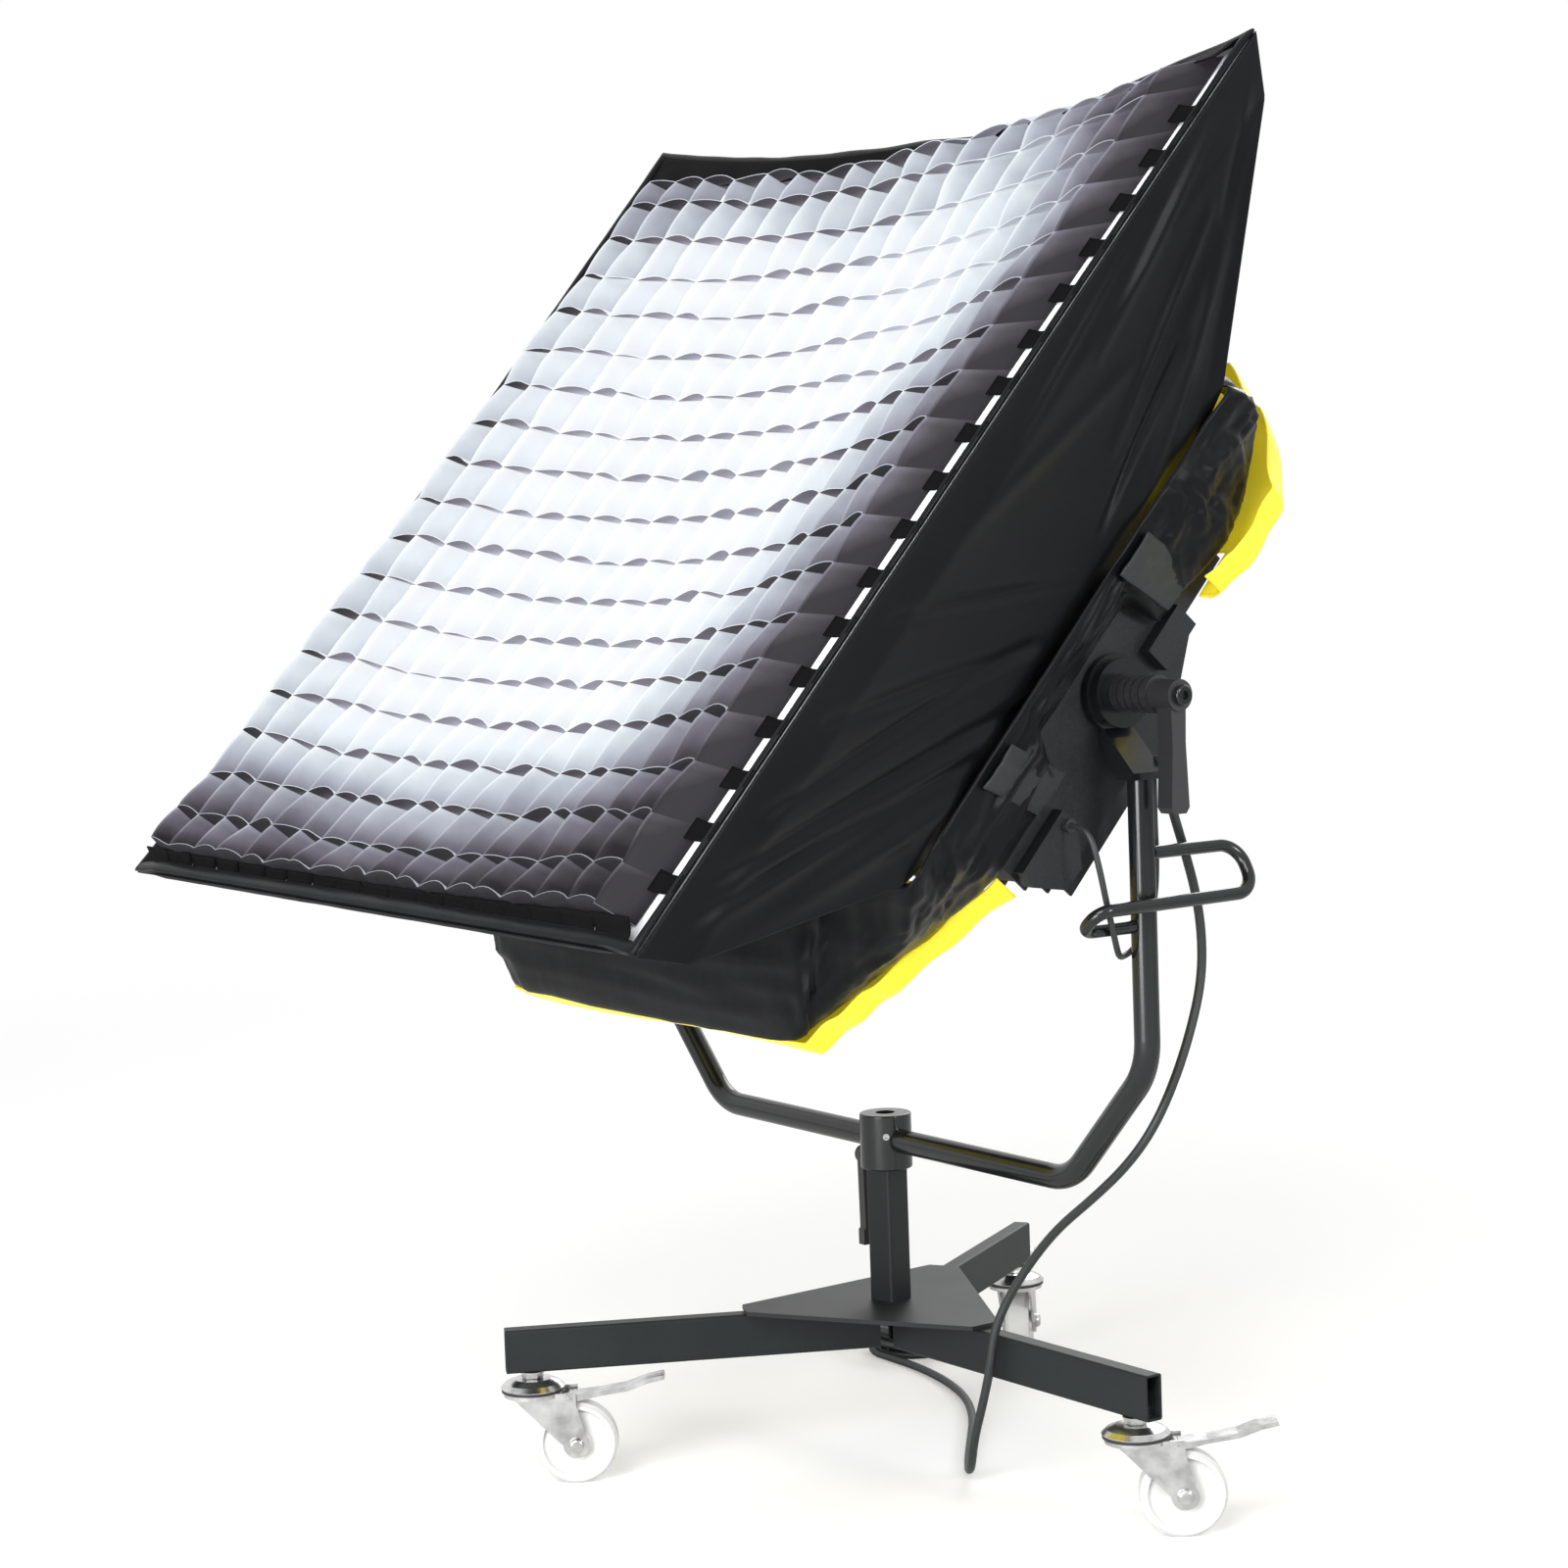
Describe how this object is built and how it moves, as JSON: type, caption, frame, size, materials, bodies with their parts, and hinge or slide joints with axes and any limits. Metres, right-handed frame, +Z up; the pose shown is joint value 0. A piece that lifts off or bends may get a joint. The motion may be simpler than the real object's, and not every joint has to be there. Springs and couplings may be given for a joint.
{
  "type": "studio softbox",
  "caption": "Square studio softbox with a cell grid on a lit panel lamp, tilting in a tubular yoke on a low tripod base with braked casters.",
  "frame": {"origin": "on the floor under the middle of the object's bounding box, measured without the mains cord, its coil and its plug", "axes": "+Z up, the lamp faces -Y and is tilted up, +X runs along the tilt axis towards the arm that carries the cable hook"},
  "size_m": [0.9, 0.9192, 1.2587],
  "materials": {
    "black_paint": "satin charcoal powder coat",
    "black_anodised": "satin black anodised aluminium",
    "zinc_plate": "bright zinc plate",
    "white_nylon": "white nylon",
    "black_plastic": "moulded black nylon",
    "black_cloth": "black coated nylon cloth with a soft sheen",
    "yellow_cloth": "lemon yellow cloth",
    "white_cloth": "white translucent diffusion cloth, lit from behind",
    "bare_aluminium": "plain mill finish",
    "milky_plastic": "milky acrylic",
    "black_rubber": "matte black flexible cord jacket"
  },
  "bodies": {
    "base": {"leg_right": "black_paint", "leg_left": "black_paint", "leg_rear": "black_paint", "hub_plate": "black_paint", "post": "black_paint", "post_spigot": "zinc_plate", "caster_stems": "zinc_plate", "caster_dust_rings": "black_plastic", "caster_nuts": "zinc_plate", "mains_cord": "black_rubber", "cord_coil": "black_rubber", "mains_plug": "black_rubber"},
    "yoke": {"yoke_tube": "black_paint", "coupling": "black_paint", "coupling_screw": "zinc_plate", "pan_lock_bolt": "zinc_plate", "yoke_ear_right": "black_paint", "yoke_ear_left": "black_paint", "friction_rings": "black_paint", "tilt_sleeves": "black_plastic", "cable_hook": "black_paint", "cable_clip": "black_plastic", "head_lead": "black_rubber"},
    "pan_lever": {"pan_lock_lever": "black_plastic"},
    "tilt_lever_right": {"tilt_lever_right": "black_plastic"},
    "tilt_lever_left": {"tilt_lever_left": "black_plastic"},
    "head": {"head_shell": "black_anodised", "heat_sink": "black_anodised", "led_board": "bare_aluminium", "front_lens": "milky_plastic", "led_driver": "black_plastic", "tilt_spindles": "zinc_plate", "side_blocks": "black_anodised", "lead_gland": "black_plastic", "control_box": "black_anodised", "speed_ring": "bare_aluminium", "softbox_rods": "zinc_plate", "panel_right": "black_cloth", "panel_left": "black_cloth", "panel_top": "black_cloth", "panel_bottom": "black_cloth", "front_lip": "black_cloth", "diffuser": "white_cloth", "egg_crate_grid": "black_cloth", "rear_skirt": "black_cloth", "rear_cover": "yellow_cloth"},
    "knob": {"dimmer_knob": "black_plastic"},
    "rocker": {"power_switch": "black_plastic"},
    "swivel_right": {"caster_fork_right": "zinc_plate", "caster_axle_right": "zinc_plate"},
    "wheel_right": {"caster_wheel_right": "white_nylon"},
    "brake_right": {"caster_brake_right": "zinc_plate"},
    "swivel_left": {"caster_fork_left": "zinc_plate", "caster_axle_left": "zinc_plate"},
    "wheel_left": {"caster_wheel_left": "white_nylon"},
    "brake_left": {"caster_brake_left": "zinc_plate"},
    "swivel_rear": {"caster_fork_rear": "zinc_plate", "caster_axle_rear": "zinc_plate"},
    "wheel_rear": {"caster_wheel_rear": "white_nylon"},
    "brake_rear": {"caster_brake_rear": "zinc_plate"}
  },
  "joints": [
    {"name": "pan", "type": "hinge", "parent": "base", "child": "yoke", "pos_m": [0, 0.08467, 0.2715], "axis": [0, 0, 1], "range_deg": [-170, 170], "deforming": ["mains_cord"]},
    {"name": "pan_lock", "type": "hinge", "parent": "yoke", "child": "pan_lever", "pos_m": [-0.04, 0.08467, 0.279], "axis": [1, 0, 0], "range_deg": [-75, 75]},
    {"name": "tilt", "type": "hinge", "parent": "yoke", "child": "head", "pos_m": [0, 0.08467, 0.7207], "axis": [-1, 0, 0], "range_deg": [-34, 48], "deforming": ["head_lead"]},
    {"name": "tilt_lock_right", "type": "hinge", "parent": "yoke", "child": "tilt_lever_right", "pos_m": [0.4053, 0.08467, 0.7207], "axis": [1, 0, 0], "range_deg": [-90, 90]},
    {"name": "tilt_lock_left", "type": "hinge", "parent": "yoke", "child": "tilt_lever_left", "pos_m": [-0.4053, 0.08467, 0.7207], "axis": [1, 0, 0], "range_deg": [-90, 90]},
    {"name": "dimmer_turn", "type": "hinge", "parent": "head", "child": "knob", "pos_m": [-0.022, 0.11883, 0.61494], "axis": [0, -0.745, 0.6671], "range_deg": [-140, 140]},
    {"name": "power_rock", "type": "hinge", "parent": "head", "child": "rocker", "pos_m": [0.028, 0.11585, 0.61761], "axis": [1, 0, 0], "range_deg": [0, 12]},
    {"name": "swivel_right", "type": "hinge", "parent": "base", "child": "swivel_right", "pos_m": [0.33581, 0.09581, 0.0857], "axis": [0, 0, 1], "continuous": true},
    {"name": "roll_right", "type": "hinge", "parent": "swivel_right", "child": "wheel_right", "pos_m": [0.35768, 0.1281, 0.0375], "axis": [-0.8281, 0.5606, 0], "continuous": true},
    {"name": "brake_right", "type": "hinge", "parent": "swivel_right", "child": "brake_right", "pos_m": [0.35488, 0.12396, 0.079], "axis": [-0.8281, 0.5606, 0], "range_deg": [0, 8]},
    {"name": "swivel_left", "type": "hinge", "parent": "base", "child": "swivel_left", "pos_m": [-0.14518, -0.21835, 0.0857], "axis": [0, 0, 1], "continuous": true},
    {"name": "roll_left", "type": "hinge", "parent": "swivel_left", "child": "wheel_left", "pos_m": [-0.12332, -0.18605, 0.0375], "axis": [-0.8281, 0.5606, 0], "continuous": true},
    {"name": "brake_left", "type": "hinge", "parent": "swivel_left", "child": "brake_left", "pos_m": [-0.12612, -0.19019, 0.079], "axis": [-0.8281, 0.5606, 0], "range_deg": [0, 8]},
    {"name": "swivel_rear", "type": "hinge", "parent": "base", "child": "swivel_rear", "pos_m": [-0.17905, 0.36899, 0.0857], "axis": [0, 0, 1], "continuous": true},
    {"name": "roll_rear", "type": "hinge", "parent": "swivel_rear", "child": "wheel_rear", "pos_m": [-0.20757, 0.39559, 0.0375], "axis": [-0.682, -0.7314, 0], "continuous": true},
    {"name": "brake_rear", "type": "hinge", "parent": "swivel_rear", "child": "brake_rear", "pos_m": [-0.20391, 0.39218, 0.079], "axis": [-0.682, -0.7314, 0], "range_deg": [0, 8]}
  ]
}
